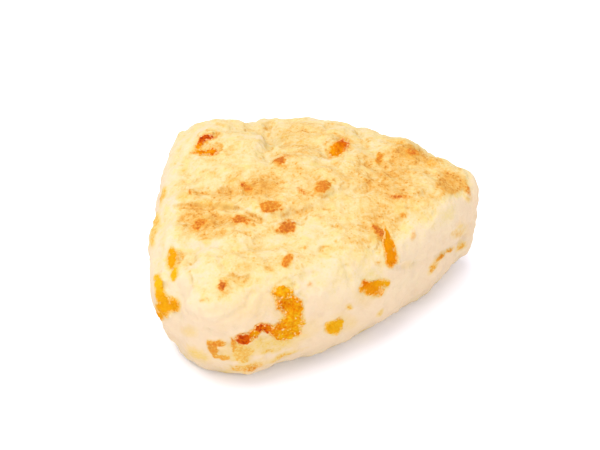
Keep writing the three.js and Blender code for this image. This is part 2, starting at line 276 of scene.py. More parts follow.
# Small crumbs of cheese that are part of the crust.
CRUMB_SPOTS = (
    Spot(280, 162, 9, 7, 20, 1.5, 0.75),
    Spot(288, 157, 10, 4, 10, 0.6, 0.9),
    Spot(323, 187, 14, 10, 25, 1.9, 0.65),
    Spot(318, 190, 7, 8, 20, 0.9, 0.8),
    Spot(247, 188, 13, 9, -35, 1.0, 0.7),
    Spot(243, 186, 8, 4, -40, 0.9, 0.95),
    Spot(233, 180, 15, 5, 20, 0.55, 0.5),
    Spot(270, 206, 19, 8, 4, 1.7, 0.6),
    Spot(271, 210, 18, 4, 4, 1.2, 0.75),
    Spot(240, 220, 17, 9, -8, 1.2, 0.75),
    Spot(287, 227, 15, 11, 25, 1.7, 0.75),
    Spot(199, 225, 16, 9, 30, 0.95, 0.75),
    Spot(204, 218, 10, 5, 30, 0.6, 0.5),
    Spot(206, 203, 18, 5, -4, 0.7, 0.5),
    Spot(224, 205, 20, 5, -4, 0.5, 0.35),
    Spot(184, 197, 14, 8, 0, 0.6, 0.3),
    Spot(190, 193, 4, 7, 0, 0.8, 0.8),
    Spot(183, 171, 12, 5, 20, 0.55, 0.35),
    Spot(206, 242, 8, 6, 0, 0.6, 0.3),
    Spot(237, 142, 7, 3, 0, 0.45, 0.5),
    Spot(259, 142, 10, 4, 5, 0.6, 0.4),
    Spot(202, 158, 9, 3, 0, 0.4, 0.8),
    Spot(288, 260, 8, 13, -25, 1.4, 0.65),
    Spot(223, 285, 9, 11, 0, 1.1, 0.85),
    Spot(228, 281, 10, 8, 0, 0.5, 0.4),
    Spot(202, 300, 5, 4, 0, 0.5, 0.7),
    Spot(219, 298, 5, 5, 0, 0.5, 0.7),
    Spot(379, 159, 8, 11, -20, 1.3, 0.6),
    Spot(398, 143, 16, 7, 0, 0.5, 0.6),
    Spot(412, 152, 18, 12, 15, 0.85, 0.7),
    Spot(430, 163, 8, 8, -40, 0.6, 0.6),
    Spot(398, 196, 22, 5, 0, 0.7, 0.95),
    Spot(403, 215, 7, 6, -20, 0.7, 0.7),
    Spot(399, 208, 16, 14, 0, 0.45, 0.3),
    Spot(413, 206, 6, 11, 0, 0.5, 0.45),
    Spot(380, 174, 11, 6, -10, 0.5, 0.8),
    Spot(467, 190, 5, 15, 25, 0.7, 0.75),
    Spot(467, 199, 6, 6, 0, 0.7, 0.4),
    Spot(378, 231, 7, 15, 30, 1.7, 0.75),
    Spot(374, 238, 7, 9, 30, 0.7, 0.2),
    Spot(379, 263, 8, 7, 0, 0.65, 0.6),
    Spot(349, 307, 7, 5, -20, 0.9, 0.3),
    Spot(380, 312, 8, 4, 35, 0.7, 0.3),
    Spot(310, 284, 6, 6, 0, 0.45, 0.8),
    Spot(302, 192, 12, 4, -35, 0.8, 0.9),
    Spot(347, 198, 12, 7, 0, 0.5, 0.5),
    Spot(290, 136, 14, 4, 5, 0.5, 0.5),
    Spot(302, 143, 6, 5, 0, 0.6, 0.5),
    Spot(305, 248, 5, 5, 0, 0.7, 0.7),
    Spot(413, 235, 5, 9, -10, 0.5, 0.7),
    Spot(186, 267, 6, 10, 25, 0.45, 0.6),
    Spot(213, 349, 8, 16, 15, 1.7, 0.5),
    Spot(219, 343, 13, 6, 5, 1.7, 0.6),
    Spot(222, 357, 15, 6, -5, 1.5, 0.4),
    Spot(233, 346, 5, 12, 15, 1.3, 0.6),
    Spot(242, 353, 20, 19, 20, 1.3, 0.2),
    Spot(198, 355, 25, 13, -30, 0.7, 0.05),
    Spot(246, 366, 40, 9, 14, 0.75, 0.4),
    Spot(252, 367, 18, 4, 14, 0.8, 0.75),
    Spot(284, 355, 34, 5, 18, 0.8, 0.3),
    Spot(268, 351, 32, 5, 6, 0.8, 0.25),
    Spot(461, 246, 11, 6, 38, 1.1, 0.4),
    Spot(449, 251, 12, 3, 22, 1.1, 0.5),
    Spot(440, 257, 13, 3, 42, 0.9, 0.55),
    Spot(433, 267, 14, 5, 60, 0.9, 0.45),
    Spot(477, 213, 5, 9, -15, 0.9, 0.15),
    Spot(460, 226, 6, 5, 0, 0.6, 0.2),
    Spot(459, 233, 16, 9, 15, 0.5, 0.55),
    Spot(163, 196, 6, 18, -15, 1.2, 0.2),
    Spot(157, 220, 7, 13, 0, 1.2, 0.2),
    Spot(154, 236, 6, 20, -5, 1.1, 0.15),
)
# Soft yellow stains where cheese lies just under the crust, and one over the front face that is painted
# shade.
STAINS_AND_SHADE = (
    Spot(190, 332, 16, 11, 0, 0.4, 0),
    Spot(226, 351, 30, 18, 8, 0.45, 0.2),
    Spot(270, 343, 60, 15, 6, 0.75, 0.1),
    Spot(300, 332, 50, 20, 30, 0.3, 0.05),
    Spot(280, 308, 26, 20, 0, 0.3, 0),
    # Painted shade: this stain darkens the front face, which the lamps light more.
    Spot(250, 300, 74, 50, 0, 0.28, 0),
    Spot(356, 257, 26, 18, 0, 0.28, 0.25),
    Spot(463, 230, 16, 14, 0, 0.3, 0.3),
    Spot(230, 282, 18, 12, 0, 0.3, 0.2),
    Spot(258, 268, 40, 16, 0, 0.2, 0.05),
    Spot(290, 240, 16, 12, 0, 0.25, 0.2),
    Spot(344, 322, 30, 18, -20, 0.35, 0.05),
    Spot(362, 296, 26, 20, 0, 0.3, 0.05),
    Spot(338, 305, 40, 20, 0, 0.15, 0),
    Spot(408, 265, 16, 8, 0, 0.25, 0.2),
)
HIDDEN_CRUMBS = Scatter(34, (1.2, 4.2), (0.6, 1.2), 7)
HIDDEN_STAINS = Scatter(16, (5, 12), (0.15, 0.4), 8)
# Browner and paler places on the golden crust; one pale place over the front face is painted shade.
BROWN_PATCHES = (
    Spot(208, 196, 56, 12, 0, 0.16),
    Spot(206, 220, 54, 24, 2, 0.42),
    Spot(264, 187, 32, 19, 4, 0.42),
    Spot(451, 184, 26, 17, -8, 0.95),
    Spot(404, 151, 46, 16, -14, 0.26),
    Spot(414, 152, 24, 14, -10, 0.18),
    Spot(428, 150, 50, 12, -26, 0.3),
    Spot(412, 190, 46, 34, -10, 0.17),
    Spot(375, 180, 50, 34, 0, 0.18),
    Spot(315, 206, 62, 30, 0, 0.22),
    Spot(318, 176, 60, 26, 0, 0.12),
    Spot(350, 228, 90, 50, 0, 0.08),
    Spot(402, 168, 44, 30, 0, 0.15),
    Spot(404, 205, 34, 30, 0, 0.14),
    Spot(434, 158, 40, 18, -30, 0.2),
    Spot(232, 180, 40, 44, 0, 0.14),
    Spot(245, 240, 50, 24, 0, 0.08),
    Spot(386, 225, 30, 34, 0, 0.2),
    Spot(300, 148, 30, 16, 0, 0.2),
    Spot(362, 160, 24, 16, 0, 0.2),
    Spot(308, 130, 62, 14, -3, 0.14),
    Spot(214, 236, 26, 8, 4, 0.16),
    Spot(255, 268, 60, 20, 0, 0.1),
    Spot(180, 160, 26, 50, 0, 0.08),
    Spot(180, 193, 20, 12, 0, 0.12),
)
PALE_AND_SHADED_PATCHES = (
    Spot(190, 165, 60, 60, 0, 0.08),
    Spot(172, 225, 10, 90, 0, 0.3),
    Spot(240, 211, 60, 5, 0, 0.35),
    Spot(280, 160, 30, 10, 0, 0.1),
    Spot(325, 163, 26, 8, 0, 0.18),
    Spot(200, 246, 50, 10, 5, 0.25),
    Spot(250, 241, 50, 12, 0, 0.12),
    Spot(382, 146, 26, 10, 0, 0.15),
    # Painted shade: the front face is moved to its darker, pinker floury tone, where the lamps light it
    # more.
    Spot(262, 302, 80, 60, 0, 0.1),
    Spot(322, 228, 40, 26, 0, 0.08),
    Spot(200, 282, 30, 24, 0, 0.15),
)
# Creases in the crust, by pixels of the photograph: the line, and its depth in millimetres.
CREASES = (
    (((176, 207), (196, 206), (214, 206), (232, 209), (247, 214), (260, 221)), 0.75),
    (((184, 237), (205, 237), (232, 231), (262, 224), (290, 217), (316, 209)), 0.32),
    (((176, 246), (175, 262), (176, 280), (179, 295), (186, 312)), 0.35),
    (((200, 192), (222, 190), (244, 196), (262, 200)), 0.45),
    (((270, 122), (266, 136), (270, 150)), 0.3),
    (((358, 132), (366, 146), (380, 160), (392, 176)), 0.45),
    (((186, 312), (205, 322), (228, 318), (246, 306), (252, 292)), 0.55),
    (((300, 192), (322, 200), (345, 198)), 0.2),
    (((232, 276), (246, 285), (262, 280)), 0.4),
    (((322, 250), (345, 262), (350, 282)), 0.35),
    (((396, 268), (420, 262), (446, 250), (466, 236)), 0.45),
    (((206, 330), (226, 336), (236, 346)), 0.5),
    (((300, 130), (330, 133), (352, 142)), 0.4),
    (((400, 150), (425, 160), (447, 174)), 0.45),
)
# A crease's half width in millimetres; the lip beside it, as a share of its depth and in half widths.
CREASE_WIDTH = 0.9
CREASE_LIP = 0.3
LIP_PLACE = 2.2
FAR_AWAY = 1.0

# Hidden marks lie where the crust faces away from the camera by this much, but not underneath.
FACES_AWAY = -0.1
FACES_DOWN = -0.6
LOWEST_MARK = 1 * MM
HIDDEN_FLATNESS = (0.35, 0.75)
HIDDEN_TURNS = (-40, 40)
HIDDEN_TONES = (0.1, 0.7)

# A mark ends within this many widths of its middle, and within this distance of its plane.
MARK_REACH = 3
MARK_DEPTH = 4 * MM
FAINTEST = 1e-6


def ray_hit(tree, x, y):
    """Where the camera's ray through a pixel meets the crust, and the crust's direction there."""
    start, direction = pixel_ray(x, y)
    place, outward, face, distance = tree.ray_cast(start, direction)
    return place, outward


def marks_by_pixel(tree, spots):
    """The spots as marks on the crust, where the camera's rays through their pixels meet it."""
    right, up, back = camera_axes()
    marks = []
    for spot in spots:
        place, outward = ray_hit(tree, spot.x, spot.y)
        if place is not None:
            pixel = (AIM + back * DISTANCE - place).dot(back) * SENSOR / LENS / FRAME_WIDTH
            size = (spot.width * pixel, spot.height * pixel)
            marks.append(Mark(place, outward, right, up, *size, spot.turn, spot.strength, spot.tone))
    return marks


def marks_out_of_sight(points, outward, scatter):
    """Marks scattered over the sides that the camera doesn't see."""
    draw = random.Random(scatter.seed)
    away = outward @ np.array(camera_axes()[2]) < FACES_AWAY
    places = np.flatnonzero(away & (outward[:, 2] > FACES_DOWN) & (points[:, 2] > LOWEST_MARK))
    marks = []
    for _ in range(scatter.count):
        chosen = places[draw.randrange(len(places))]
        normal = Vector(outward[chosen])
        across = Vector((0, 0, 1)).cross(normal).normalized()
        width = draw.uniform(*scatter.widths) * MM
        height = width * draw.uniform(*HIDDEN_FLATNESS)
        turn = draw.uniform(*HIDDEN_TURNS)
        strength = draw.uniform(*scatter.strengths)
        tone = draw.uniform(*HIDDEN_TONES)
        place = Vector(points[chosen])
        marks.append(Mark(place, normal, across, normal.cross(across), width, height, turn, strength, tone))
    return marks


def mark_mask(points, mark, edge, ragged):
    """How much of a mark lies on each point: its strength inside its ellipse, and 0 outside."""
    mask = np.zeros(len(points))
    offset = points - np.array(mark.place)
    close = np.flatnonzero((offset**2).sum(1) < (MARK_REACH * max(mark.width, mark.height)) ** 2)
    offset = offset[close]
    across = offset @ np.array(mark.right)
    above = offset @ np.array(mark.up)
    angle = math.radians(mark.turn)
    along = across * math.cos(angle) + above * math.sin(angle)
    over = above * math.cos(angle) - across * math.sin(angle)
    radius = np.hypot(along / (mark.width / 2), over / (mark.height / 2)) + ragged[close]
    near = np.abs(offset @ np.array(mark.outward)) < MARK_DEPTH
    mask[close] = mark.strength * near * (1 - ramp(radius, 1 - edge, 1 + edge))
    return mask


def blended(masks, tones):
    """The strongest mask at each point, and the tones weighted by their masks."""
    weight = masks**2 + FAINTEST
    return masks.max(0), (weight * tones).sum(0) / weight.sum(0)


def marks_on(points, marks, edge, ragged):
    """Strength and tone of many marks at each point."""
    masks = np.array([mark_mask(points, mark, edge, ragged) for mark in marks])
    return blended(masks, np.array([[mark.tone] for mark in marks]))


def crease_depth(tree, points):
    """Depth of all creases at each point, in millimetres."""
    depth = np.zeros(len(points))
    for pixels, deepest in CREASES:
        line = [ray_hit(tree, x, y)[0] for x, y in pixels]
        line = [np.array(place) for place in line if place is not None]
        nearest = np.full(len(points), FAR_AWAY)
        for first, second in zip(line, line[1:]):
            along = second - first
            share = np.clip(((points - first) @ along) / (along @ along), 0, 1)
            nearest = np.minimum(nearest, np.linalg.norm(points - first - share[:, None] * along, axis=1))
        away = nearest / MM / CREASE_WIDTH
        lip = CREASE_LIP * np.exp(-((away - LIP_PLACE) ** 2))
        depth = np.maximum(depth, deepest * (np.exp(-(away**2)) - lip))
    return depth


# The dough's form

DOUGH_VOXEL = 0.52 * MM
FACET_SMOOTHING = 60
REGAIN = 0.51
# Relief over the solid's form, with heights in millimetres.
SIDE_WAVES = (Wave(8.0, 0.8, 10), Wave(3.7, 0.55, 11), Wave(1.8, 0.26, 12))
TOP_WAVES = (Wave(6.5, 0.6, 17), Wave(3.0, 0.42, 18), Wave(1.4, 0.28, 13))
PITS = Wave(2.4, 0.35, 15)
PIT_NOISE = (0.3, 0.7)
# The top begins where the crust faces up this much; the line wanders.
TOP_EDGE = (0.45, 0.8)
TOP_EDGE_WANDER = (Wave(9, 0.1, 30),)
FOOT_HEIGHTS = (0.2 * MM, 2.5 * MM)

# The bed around each lump of cheese, in millimetres.
BED_MARGIN = 0.36
BED_DEPTH = 0.6
BED_RIM = (0.2, 1.1)
BED_REACH = 4
CHEESE_BED = 0.25
CRUMB_RISE = 0.3
CRUMB_LUMPS = (Wave(1.2, 1, 35),)

# The ragged outline of the cheese: how far it strays, in radii of a mark, and how soft it is.
RAGGED = (Wave(2.3, 0.3, 33), Wave(1.2, 0.26, 34))
MELTED_EDGE = 0.5
CRUMB_EDGE = 0.85
CRUMB_RAGGED = 1.4
# A hidden lump melts out to this distance from its solid, in millimetres, and its tone varies.
HIDDEN_EDGE = (0.1, 1.0)
HIDDEN_RAGGED = 2.0
HIDDEN_TONE = 0.4
HIDDEN_TONE_CHANGE = 0.5
TONE_SMOOTHING = 10


def dough_form():
    """The dough's solid with its pockets filled, as one fine smooth skin."""
    lumps = [inflated(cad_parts[name].data, BED_MARGIN * MM) for name in CHEESE_NODES]
    whole = joined([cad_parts["scone"].data, *lumps])
    mesh = with_modifier(whole, "REMESH", mode="VOXEL", voxel_size=DOUGH_VOXEL, adaptivity=0)
    set_coordinates(mesh, smoothed(mesh, coordinates(mesh), FACET_SMOOTHING, REGAIN))
    return mesh


def distances_to_cheese(points):
    """Each lump's distance from each point, in millimetres."""
    apart = {}
    for name in CHEESE_NODES:
        apart[name] = distance_to(tree_of(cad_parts[name].data), points, BED_REACH * MM) / MM
    return apart


def melted_cheese(mesh, tree, apart, ragged):
    """For each lump, how much of it lies on each point of the crust, and its tone there."""
    points = coordinates(mesh)
    melted = {}
    for name in CHEESE_NODES:
        if name in MELTED:
            mask, tone = marks_on(points, marks_by_pixel(tree, MELTED[name]), MELTED_EDGE, ragged)
            melted[name] = (mask, smoothed_values(mesh, tone, TONE_SMOOTHING))
        else:
            mask = 1 - ramp(apart[name] + HIDDEN_RAGGED * ragged, *HIDDEN_EDGE)
            melted[name] = (mask, HIDDEN_TONE + HIDDEN_TONE_CHANGE * ragged)
    return melted


def crust_relief(tree, points, outward, nearest_cheese):
    """Height of the crust over the dough's smooth form, in millimetres."""
    topness = ramp(outward[:, 2] + waves_at(points, TOP_EDGE_WANDER), *TOP_EDGE)
    height = (1 - topness) * waves_at(points, SIDE_WAVES) + topness * waves_at(points, TOP_WAVES)
    height -= PITS.height * ramp(noise_at(points, PITS.length, PITS.seed), *PIT_NOISE)
    height -= crease_depth(tree, points)
    height -= BED_DEPTH * (1 - ramp(nearest_cheese, *BED_RIM))
    return height


def dough_mesh():
    """The crust as one fine skin, where each lump melted into it, and its relief in millimetres."""
    mesh = dough_form()
    points = coordinates(mesh)
    outward = normals(mesh)
    tree = tree_of(mesh)
    apart = distances_to_cheese(points)
    height = crust_relief(tree, points, outward, np.min(list(apart.values()), axis=0))
    ragged = waves_at(points, RAGGED)
    melted = melted_cheese(mesh, tree, apart, ragged)
    crumb_marks = marks_by_pixel(tree, CRUMB_SPOTS) + marks_out_of_sight(points, outward, HIDDEN_CRUMBS)
    crumbs = marks_on(points, crumb_marks, CRUMB_EDGE, CRUMB_RAGGED * ragged)
    height -= CHEESE_BED * np.max([mask for mask, tone in melted.values()], axis=0)
    height += CRUMB_RISE * crumbs[0] * (1 + waves_at(points, CRUMB_LUMPS))
    above_foot = ramp(points[:, 2], *FOOT_HEIGHTS)
    points = points + outward * (height * above_foot * MM)[:, None]
    points[:, 2] = np.maximum(points[:, 2], 0)
    set_coordinates(mesh, points)
    return mesh, outward, melted, crumbs, height


# The dough's toasting, with painted shade added in hollows and on steep slopes: 0 is floury, 0.4 golden and
# 1 brown

# Blotches, mottling and speckles over the crust: wavelengths in millimetres, and seeds.
PATTERNS = ((11, 31), (3.4, 32), (1.3, 36))
# How much of the three patterns goes into each place.
TOP_LIMIT_UNEVEN = (0.14, 0.08, 0)
TOP_UNEVEN = (0.12, 0.16, 0.12)
SIDE_UNEVEN = (0.06, 0.06, 0)
PATCH_UNEVEN = (0, 0, 0.3)
PATCH_RAGGED = (0, 0.4, 0)
STAIN_RAGGED = (0, 0.6, 0)
BROWNEST_UNEVEN = (0, 0, 0.1)
LOW_UNEVEN = (0, 1.6, 1)
RIM_UNEVEN = (0, 0.4, 0)
UNDERSIDE_UNEVEN = (0.25, 0.2, 0)
COVER_UNEVEN = (0, 0, 0.12)

# The top's gold fades in over two ranges of how far the crust faces up.
TOP_SMOOTHING = 80
WIDE_FADE = (-0.1, 0.7)
WIDE_SHARE = 0.4
NARROW_FADE = (0.55, 0.97)
TOP_TOAST = 0.365
LEAST_TOP_TOAST = 0.1
# Hollows in the relief, in millimetres, are browner: partly toast in the creases and partly painted shade.
# Steep slopes on the top are browner as painted shade.
HOLLOWS = (0.1, 0.9)
HOLLOW_TOAST_AND_SHADE = 0.05
TOP_HOLLOW_TOAST_AND_SHADE = 0.13
SLOPES = (0.01, 0.15)
SLOPE_PAINTED_SHADE = 0.3
PATCH_EDGE = 0.95
BROWNEST = 0.78
# The low part of the sides, the rim of the foot and the underside touched the hot tray.
LOW_HEIGHTS = (1 * MM, 7 * MM)
LOW_TOAST = 0.22
RIM_HEIGHTS = (0.4 * MM, 1.7 * MM)
RIM_TOAST = 0.5
UNDERSIDE_HEIGHTS = (0.1 * MM, 0.6 * MM)
UNDERSIDE_FACING = (0.6, 0.95)
UNDERSIDE_TOAST = 0.55
# The stains, and the cheese that shows through the crust around each lump.
STAIN_EDGE = 0.9
COVER_FADE = (0.02, 0.6)
COVER_STRENGTH = 0.9
COVER_TONE = 0.85


def toasting_and_shade(mesh, form_normals, relief, patterns):
    """How toasted the crust is at each point, with painted shade added in its hollows and on the steep
    slopes of its top.
    """
    points = coordinates(mesh)
    outward = normals(mesh)
    tree = tree_of(mesh)
    facing_up = smoothed(mesh, form_normals, TOP_SMOOTHING)[:, 2] + np.dot(TOP_LIMIT_UNEVEN, patterns)
    top = WIDE_SHARE * ramp(facing_up, *WIDE_FADE) + (1 - WIDE_SHARE) * ramp(facing_up, *NARROW_FADE)
    toast_and_shade = top * (TOP_TOAST + np.dot(TOP_UNEVEN, patterns))
    # Painted shade, partly real toast: hollows of the relief are made browner.
    toast_and_shade += (HOLLOW_TOAST_AND_SHADE + TOP_HOLLOW_TOAST_AND_SHADE * top) * ramp(-relief, *HOLLOWS)
    # Painted shade: steep slopes on the top are made browner, as if turned from the light.
    toast_and_shade += SLOPE_PAINTED_SHADE * top * ramp(1 - (outward * form_normals).sum(1), *SLOPES)
    toast_and_shade += (1 - top) * np.dot(SIDE_UNEVEN, patterns)
    ragged = np.dot(PATCH_RAGGED, patterns)
    for mark in marks_by_pixel(tree, BROWN_PATCHES):
        toast_and_shade += mark_mask(points, mark, PATCH_EDGE, ragged) * (1 + np.dot(PATCH_UNEVEN, patterns))
    for mark in marks_by_pixel(tree, PALE_AND_SHADED_PATCHES):
        toast_and_shade -= mark_mask(points, mark, PATCH_EDGE, ragged)
    toast_and_shade = np.maximum(toast_and_shade, LEAST_TOP_TOAST * top)
    toast_and_shade = np.minimum(toast_and_shade, BROWNEST + np.dot(BROWNEST_UNEVEN, patterns))
    low = 1 - ramp(points[:, 2], *LOW_HEIGHTS)
    toast_and_shade += LOW_TOAST * low * (1 + np.dot(LOW_UNEVEN, patterns))
    rim = 1 - ramp(points[:, 2], *RIM_HEIGHTS)
    toast_and_shade = np.maximum(toast_and_shade, rim * (RIM_TOAST + np.dot(RIM_UNEVEN, patterns)))
    underside = ramp(-outward[:, 2], *UNDERSIDE_FACING) * (1 - ramp(points[:, 2], *UNDERSIDE_HEIGHTS))
    underside_toast = UNDERSIDE_TOAST + np.dot(UNDERSIDE_UNEVEN, patterns)
    return toast_and_shade * (1 - underside) + underside * underside_toast


def cheese_in_crust(mesh, melted, crumbs, patterns):
    """How much cheese shows in the crust at each point, and its tone; one of the stains is painted shade
    over the front face.
    """
    points = coordinates(mesh)
    outward = normals(mesh)
    stain_and_shade_marks = marks_by_pixel(tree_of(mesh), STAINS_AND_SHADE) + marks_out_of_sight(points, outward, HIDDEN_STAINS)
    layers = [crumbs, marks_on(points, stain_and_shade_marks, STAIN_EDGE, np.dot(STAIN_RAGGED, patterns))]
    for mask, tone in melted.values():
        spread = smoothed_values(mesh, mask, TONE_SMOOTHING) + np.dot(COVER_UNEVEN, patterns)
        layers.append((COVER_STRENGTH * ramp(spread, *COVER_FADE), COVER_TONE * tone))
    return blended(np.array([mask for mask, tone in layers]), np.array([tone for mask, tone in layers]))


def colour_dough(mesh, form_normals, melted, crumbs, relief):
    """Attributes of the crust: how toasted it is with painted shade added, how much cheese shows in it with
    a painted shade over the front face, and the cheese's tone.
    """
    points = coordinates(mesh)
    patterns = np.array([noise_at(points, length, seed) for length, seed in PATTERNS])
    toast_and_shade = toasting_and_shade(mesh, form_normals, relief, patterns)
    cheese, tone = cheese_in_crust(mesh, melted, crumbs, patterns)
    add_attribute(mesh, "toast_and_shade", np.clip(toast_and_shade, 0, 1))
    add_attribute(mesh, "cheese", np.clip(cheese, 0, 1))
    add_attribute(mesh, "tone", tone)


# Melted cheese: a skin over its bed

# Heights in millimetres: how far it rises, how deep its rim is sunk, and how deep its back lies.
MELT_RISE = 0.62
MELT_SUNK = 0.3
MELT_BACK = 0.5
MELT_GRAIN = Wave(1.5, 0.3, 41)
MELT_BUBBLE = Wave(0.75, 0.3, 42)
# The skin begins where the mask passes the first value and rises over the range below.
SKIN_START = 0.1
SKIN_SPLITS = 2
RISING = (0.1, 0.7)
GRAIN_RISING = (0, 0.5)
LEAST_GRAIN = 0.3
# Small holes in a granular skin, where it isn't full.
HOLES = 0.35
FULL = 0.95
# Thin cheese is yellower, and the grain changes its tone.
THIN = (0.2, 0.8)
THIN_TONE = 0.25
GRAIN_TONE = 0.16
# How granular each lump's surface is; the others are smoother.
SMOOTH_MELT = 0.25
GRANULAR = {
    "cheese_front_curl": 1.0,
    "cheese_front_lump": 0.8,
    "cheese_top_curl": 0.9,
    "cheese_top_lump": 0.6,
}


def finer_patch(dough, mask, tone):
    """The faces of the crust under a lump of cheese, split finely, with the mask and tone on them."""
    points = coordinates(dough)
    corners = np.array([polygon.vertices[:] for polygon in dough.polygons if len(polygon.vertices) == 4])
    used, faces = np.unique(corners[mask[corners].max(1) > SKIN_START], return_inverse=True)
    mesh = bpy.data.meshes.new("patch")
    mesh.from_pydata(points[used].tolist(), [], faces.reshape(-1, 4).tolist())
    add_attribute(mesh, "melt", mask[used])
    add_attribute(mesh, "tone", tone[used])
    return with_modifier(mesh, "SUBSURF", subdivision_type="SIMPLE", levels=SKIN_SPLITS)


def rim_of(faces):
    """The edges that only one face has, in that face's direction."""
    sides = np.concatenate([faces[:, [i, (i + 1) % 4]] for i in range(4)])
    ordered, index, count = np.unique(np.sort(sides, axis=1), axis=0, return_index=True, return_counts=True)
    return sides[index[count == 1]]


def closed_skin(top, back, faces):
    """A mesh of quads with a front and a back that share their faces' order, joined along the rim."""
    rim = rim_of(faces)
    behind = len(top)
    walls = np.column_stack([rim[:, 1], rim[:, 0], rim[:, 0] + behind, rim[:, 1] + behind])
    skin = np.concatenate([faces, faces[:, ::-1] + behind, walls])
    mesh = bpy.data.meshes.new("melted")
    mesh.from_pydata(np.concatenate([top, back]).tolist(), [], skin.tolist())
    return mesh


def cheese_patch(dough, mask, tone, granular):
    """A skin of melted cheese over the crust wherever the mask is high, closed by a back below it."""
    fine = finer_patch(dough, mask, tone)
    melt = values_of(fine, "melt")
    points = coordinates(fine)
    outward = normals(fine)
    grain = noise_at(points, MELT_GRAIN.length, MELT_GRAIN.seed)
    bubble = noise_at(points, MELT_BUBBLE.length, MELT_BUBBLE.seed)
    melt = melt + HOLES * granular * bubble * (melt < FULL)
    uneven = LEAST_GRAIN + (1 - LEAST_GRAIN) * granular
    uneven = uneven * (MELT_GRAIN.height * grain + MELT_BUBBLE.height * bubble)
    height = MELT_RISE * ramp(melt, *RISING) - MELT_SUNK + ramp(melt, *GRAIN_RISING) * uneven
    height = np.maximum(height, -MELT_BACK / 2)
    top = points + outward * (height * MM)[:, None]
    back = points - smoothed(fine, outward, TONE_SMOOTHING) * (MELT_BACK * MM)
    mesh = closed_skin(top, back, np.array([polygon.vertices[:] for polygon in fine.polygons]))
    shade = values_of(fine, "tone") - THIN_TONE * (1 - ramp(melt, *THIN)) + GRAIN_TONE * granular * grain
    add_attribute(mesh, "tone", np.tile(np.clip(shade, 0, 1), 2))
    add_attribute(mesh, "melt", np.tile(melt, 2))
    add_attribute(mesh, "granular", np.full(2 * len(points), granular))
    return mesh


# Materials

BLACK = (0, 0, 0)
WHITE = (1, 1, 1)
# The share of a dot's radius that is full.
DOT_CORE = 0.3


class Nodes:
    """Short calls for building a material's nodes."""

    def __init__(self, name):
        self.material = bpy.data.materials.new(name)
        self.material.use_nodes = True
        self.tree = self.material.node_tree
        self.shader = self.tree.nodes["Principled BSDF"]

    def link(self, output, target):
        self.tree.links.new(output, target)

    def put(self, value, socket):
        """A link where the value is another node's output, and otherwise the socket's own value."""
        if isinstance(value, bpy.types.NodeSocket):
            self.link(value, socket)
        elif socket.type == "RGBA":
            socket.default_value = (*value, 1)
        else:
            socket.default_value = value

    def add(self, kind, **inputs):
        node = self.tree.nodes.new(kind)
        for name, value in inputs.items():
            self.put(value, node.inputs[name.replace("_", " ")])
        return node

    def attribute(self, name):
        node = self.add("ShaderNodeAttribute")
        node.attribute_name = name
        return node.outputs["Fac"]

    def place(self):
        return self.add("ShaderNodeTexCoord").outputs["Object"]

    def noise(self, size_mm, detail, roughness):
        """A noise moved to about -0.5 to 0.5."""
        return self.minus(self.plain_noise(size_mm, detail, roughness), 0.5)

    def plain_noise(self, size_mm, detail, roughness):
        node = self.add("ShaderNodeTexNoise", Scale=1000 / size_mm, Detail=detail, Roughness=roughness)
        self.link(self.place(), node.inputs["Vector"])
        return node.outputs["Fac"]

    def dots(self, size_mm, share, radius):
        """Round dots about this far apart, left out of all but a share of the places."""
        node = self.add("ShaderNodeTexVoronoi", Scale=1000 / size_mm)
        self.link(self.place(), node.inputs["Vector"])
        dot = self.ramp(node.outputs["Distance"], ((DOT_CORE * radius, WHITE), (radius, BLACK)))
        return self.times(dot, self.math("LESS_THAN", node.outputs["Color"], share))

    def math(self, operation, first, second, clamp=False):
        node = self.tree.nodes.new("ShaderNodeMath")
        node.operation = operation
        node.use_clamp = clamp
        self.put(first, node.inputs[0])
        self.put(second, node.inputs[1])
        return node.outputs[0]

    def plus(self, first, second, clamp=False):
        return self.math("ADD", first, second, clamp)

    def minus(self, first, second, clamp=False):
        return self.math("SUBTRACT", first, second, clamp)

    def times(self, first, second, clamp=False):
        return self.math("MULTIPLY", first, second, clamp)

    def ramp(self, factor, stops):
        node = self.add("ShaderNodeValToRGB", Fac=factor)
        elements = node.color_ramp.elements
        while len(elements) < len(stops):
            elements.new(0.5)
        for element, (position, colour) in zip(elements, stops):
            element.position = position
            element.color = (*colour, 1)
        return node.outputs["Color"]

    def mix(self, factor, first, second):
        node = self.tree.nodes.new("ShaderNodeMix")
        node.data_type = "RGBA"
        colour_sockets = [socket for socket in node.inputs if socket.type == "RGBA"]
        self.put(factor, node.inputs[0])
        self.put(first, colour_sockets[0])
        self.put(second, colour_sockets[1])
        return [socket for socket in node.outputs if socket.type == "RGBA"][0]

    def colour(self, output):
        self.link(output, self.shader.inputs["Base Color"])

    def bump(self, height, strength, distance_mm):
        node = self.add("ShaderNodeBump", Strength=strength, Distance=distance_mm * MM, Height=height)
        self.link(node.outputs["Normal"], self.shader.inputs["Normal"])

    def set(self, **values):
        """Values that are the same all over the surface, on the shader's own sockets."""
        for name, value in values.items():
            self.shader.inputs[name.replace("_", " ")].default_value = value


